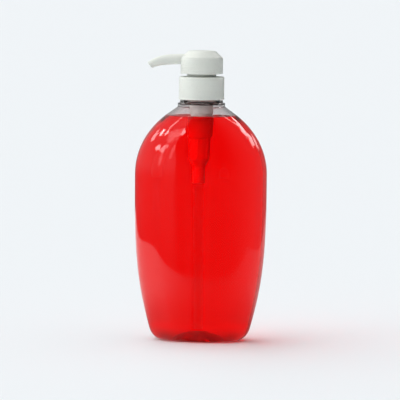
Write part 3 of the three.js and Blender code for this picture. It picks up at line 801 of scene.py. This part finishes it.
def tableGlow():
    # bright at its sides, dim before the bottle, and shaded by it close by
    t = tableSizes
    material, tree = newMaterial("table top seen in gloss")
    place = addNode(tree, "ShaderNodeTexCoord")
    parts = addNode(tree, "ShaderNodeSeparateXYZ", {"Vector": place.outputs["Object"]}).outputs
    around = angleAround(tree, parts)
    left = addNode(tree, "ShaderNodeMapRange", [around, *t["leftGlow"]], **smooth)
    right = addNode(tree, "ShaderNodeMapRange", [around, *t["rightGlow"]], **smooth)
    level = addNode(tree, "ShaderNodeMath", [left, right], operation="ADD")
    squares = [addNode(tree, "ShaderNodeMath", [parts[axis]] * 2, operation="MULTIPLY") for axis in "XY"]
    sumOfSquares = addNode(tree, "ShaderNodeMath", squares, operation="ADD")
    distance = addNode(tree, "ShaderNodeMath", [sumOfSquares], operation="SQRT")
    shade = addNode(tree, "ShaderNodeMapRange", [distance, *t["shade"]], **smooth)
    shaded = addNode(tree, "ShaderNodeMath", [level, shade], operation="MULTIPLY")
    glow = addNode(tree, "ShaderNodeEmission", {"Color": (1, 1, 1, 1), "Strength": shaded})
    addNode(tree, "ShaderNodeOutputMaterial", {"Surface": glow})
    return material


def makeReflectedTable():
    t = tableSizes
    bm = bmesh.new()
    bmesh.ops.create_grid(bm, x_segments=1, y_segments=1, size=0.5)
    bmesh.ops.translate(bm, verts=bm.verts, vec=(0.5, 0.5, 0))
    bmesh.ops.scale(bm, verts=bm.verts, vec=(t["right"] - t["left"], t["back"] - t["front"], 1))
    bmesh.ops.translate(bm, verts=bm.verts, vec=(t["left"], t["front"], t["height"]))
    corner = min(bm.verts, key=lambda vert: vert.co.x + vert.co.y)
    bmesh.ops.bevel(
        bm, geom=[corner], offset=t["corner"], offset_type="OFFSET", segments=t["cornerSteps"],
        profile=0.5, affect="VERTICES", material=-1,
    )
    table = stageObject("reflected_table", bm, tableGlow())
    table.rotation_euler = (0, 0, math.radians(cameraSizes["azimuth"]))
    # only glossy rays meet it
    table.visible_camera = table.visible_diffuse = table.visible_transmission = False
    table.visible_shadow = table.visible_volume_scatter = False


# studio light: levels, then smooth ramps like the table's, mostly over a direction's x, z or angle round
# the bottle

lightLevels = {"seen": 0.8, "dark": 0.008, "through": 0.9, "throughHigh": 0.36, "insideBelow": 0.85}
lightRamps = {
    "leftCardEdge": (0.1, 0.5, 0.63, 0.79), "leftCard": (0, 0.04, 0, 0.42),
    "leftCardFoot": (-0.18, 0.14, 0.15, 1), "rightCard": (-1.7, -0.2, 0.16, 0),
    "ragged": (0.35, 0.65, -0.6, 0.6),
    "throughUp": (-0.02, 0.26, 0, 1), "throughSide": (0.3, 0.6, 1, 0.3), "insideUp": (-0.06, 0, 1, 0),
    "insideAcross": (-0.9, 0.9, 5.6, 0.3), "fromInside": (0.4, 0.6, 0, 1), "left": (-0.2, 1.3, 0, 1.35),
    "behind": (1.8, 2.8, 0, 0.22), "top": (0.3, 1, 0, 0.83),
}
patchEdge = (-0.1, 0.35)
# bright patches that the shoulders mirror: around, elevation, half widths in radians, brightness
brightPatches = [
    (2.03, 0.5, 0.12, 0.08, 3.6), (1.73, 0.62, 0.1, 0.05, 10.0), (1.47, 0.66, 0.08, 0.04, 8.0),
    (1.55, 0.8, 0.07, 0.14, 4.0), (0.79, 0.69, 0.07, 0.07, 6.0), (1.02, 0.64, 0.26, 0.12, 1.5),
    (1.39, 0.42, 0.12, 0.045, 6.0), (1.13, 0.4, 0.12, 0.06, 4.0), (1.09, 0.23, 0.05, 0.12, 1.2),
    (0.82, 0.32, 0.04, 0.12, 1.0), (-2.11, 0.9, 0.06, 0.12, 3.0), (-2.2, 0.66, 0.3, 0.1, 6.5),
    (-2.15, 0.49, 0.22, 0.1, 4.5), (-2.47, 0.28, 0.12, 0.08, 2.5), (-2.13, 0.78, 0.05, 0.22, 2.4),
]


def mirroredCards(tree, z, around):
    # a card at each side; the left one's edge leans with height, and it fades towards its foot
    r = lightRamps
    edge = addNode(tree, "ShaderNodeMapRange", [z, *r["leftCardEdge"]], **smooth)
    pastEdge = addNode(tree, "ShaderNodeMath", [around, edge], operation="SUBTRACT")
    card = addNode(tree, "ShaderNodeMapRange", [pastEdge, *r["leftCard"]], **smooth)
    foot = addNode(tree, "ShaderNodeMapRange", [z, *r["leftCardFoot"]], **smooth)
    left = addNode(tree, "ShaderNodeMath", [card, foot], operation="MULTIPLY")
    right = addNode(tree, "ShaderNodeMapRange", [around, *r["rightCard"]], **smooth)
    return addNode(tree, "ShaderNodeMath", [left, right], operation="ADD")


def mirroredPatches(tree, direction, z, around):
    # ellipses of light with ragged edges; where two overlap, the brighter one shows
    noise = addNode(tree, "ShaderNodeTexNoise", {"Vector": direction, "Scale": 14.0, "Detail": 4.0})
    ragged = addNode(tree, "ShaderNodeMapRange", [noise, *lightRamps["ragged"]], **smooth)
    elevation = addNode(tree, "ShaderNodeMath", [z], operation="ARCSINE")
    brightest = 0.0
    for at, high, wide, tall, bright in brightPatches:
        squares = []
        for place, centre, half in ((around, at, wide), (elevation, high, tall)):
            off = addNode(tree, "ShaderNodeMath", [place, centre], operation="SUBTRACT")
            share = addNode(tree, "ShaderNodeMath", [off, half], operation="DIVIDE")
            squares.append(addNode(tree, "ShaderNodeMath", [share, share], operation="MULTIPLY"))
        reach = addNode(tree, "ShaderNodeMath", squares, operation="ADD")
        inside = addNode(tree, "ShaderNodeMath", [1.0, reach], operation="SUBTRACT")
        broken = addNode(tree, "ShaderNodeMath", [inside, ragged], operation="ADD")
        patch = addNode(tree, "ShaderNodeMapRange", [broken, *patchEdge, 0, bright], **smooth)
        brightest = addNode(tree, "ShaderNodeMath", [brightest, patch], operation="MAXIMUM")
    return brightest


def mirroredLight(tree, direction, z, around):
    cards = mirroredCards(tree, z, around)
    patches = mirroredPatches(tree, direction, z, around)
    rest = addNode(tree, "ShaderNodeMath", [patches, lightLevels["dark"]], operation="ADD")
    return addNode(tree, "ShaderNodeMath", [cards, rest], operation="ADD")


def lightThrough(tree, x, z, diffuseDepth):
    # what shows through bottle and soap: an even backdrop, darker high up in the middle, and for light
    # that left a piece inside the bottle, a dome that is brighter at the left
    w, r = lightLevels, lightRamps
    up = addNode(tree, "ShaderNodeMapRange", [z, *r["throughUp"]], **smooth)
    sideways = addNode(tree, "ShaderNodeMath", [x], operation="ABSOLUTE")
    middle = addNode(tree, "ShaderNodeMapRange", [sideways, *r["throughSide"]], **smooth)
    shade = addNode(tree, "ShaderNodeMath", [up, middle], operation="MULTIPLY")
    change = addNode(tree, "ShaderNodeMath", [shade, w["throughHigh"] - w["through"]], operation="MULTIPLY")
    backdrop = addNode(tree, "ShaderNodeMath", [w["through"], change], operation="ADD")
    below = addNode(tree, "ShaderNodeMapRange", [z, *r["insideUp"]], **smooth)
    across = addNode(tree, "ShaderNodeMapRange", [x, *r["insideAcross"]], **smooth)
    dome = addNode(tree, "ShaderNodeMix", {"Factor": below, "A": across, "B": w["insideBelow"]})
    fromInside = addNode(tree, "ShaderNodeMapRange", [diffuseDepth, *r["fromInside"]], **smooth)
    return addNode(tree, "ShaderNodeMix", {"Factor": fromInside, "A": backdrop, "B": dome})


def lightOnPieces(tree, z, around):
    # the light that matt surfaces get: most from the left and the top, and a little from behind
    r = lightRamps
    left = addNode(tree, "ShaderNodeMapRange", [around, *r["left"]], **smooth)
    away = addNode(tree, "ShaderNodeMath", [around], operation="ABSOLUTE")
    behind = addNode(tree, "ShaderNodeMapRange", [away, *r["behind"]], **smooth)
    sides = addNode(tree, "ShaderNodeMath", [left, behind], operation="ADD")
    top = addNode(tree, "ShaderNodeMapRange", [z, *r["top"]], **smooth)
    return addNode(tree, "ShaderNodeMath", [sides, top], operation="ADD")


def makeWorld():
    world = bpy.data.worlds.new("studio")
    bpy.context.scene.world = world
    world.use_nodes = True
    tree = world.node_tree
    tree.nodes.clear()
    place = addNode(tree, "ShaderNodeTexCoord")
    direction = addNode(tree, "ShaderNodeMapping", {
        "Vector": place.outputs["Generated"], "Rotation": (0, 0, math.radians(-cameraSizes["azimuth"])),
    })
    rays = addNode(tree, "ShaderNodeLightPath").outputs
    parts = addNode(tree, "ShaderNodeSeparateXYZ", {"Vector": direction}).outputs
    x, z, around = parts["X"], parts["Z"], angleAround(tree, parts)
    strength = lightOnPieces(tree, z, around)
    for ray, level in (
        ("Is Camera Ray", lightLevels["seen"]),
        ("Is Glossy Ray", mirroredLight(tree, direction, z, around)),
        ("Is Transmission Ray", lightThrough(tree, x, z, rays["Diffuse Depth"])),
    ):  # transmission comes last, as refracted rays are glossy too
        strength = addNode(tree, "ShaderNodeMix", {"Factor": rays[ray], "A": strength, "B": level})
    back = addNode(tree, "ShaderNodeBackground", {"Color": (1, 1, 1, 1), "Strength": strength})
    addNode(tree, "ShaderNodeOutputWorld", {"Surface": back})
    print("made studio world")


makeBottle()
makeSoap()
makeHousing()
makeTube()
makeCollar()
makeLockRing()
makeSeal()
makePiston()
makeStem()
makeBall()
makeHead()
dressCarriedNodes()
makeCamera()
makeFloor()
makeReflectedTable()
makeWorld()

view = bpy.context.scene.view_settings
view.view_transform = "Standard"
view.look = "None"
cycles = bpy.context.scene.cycles
cycles.max_bounces = cycles.transmission_bounces = 24
cycles.transparent_max_bounces = 16
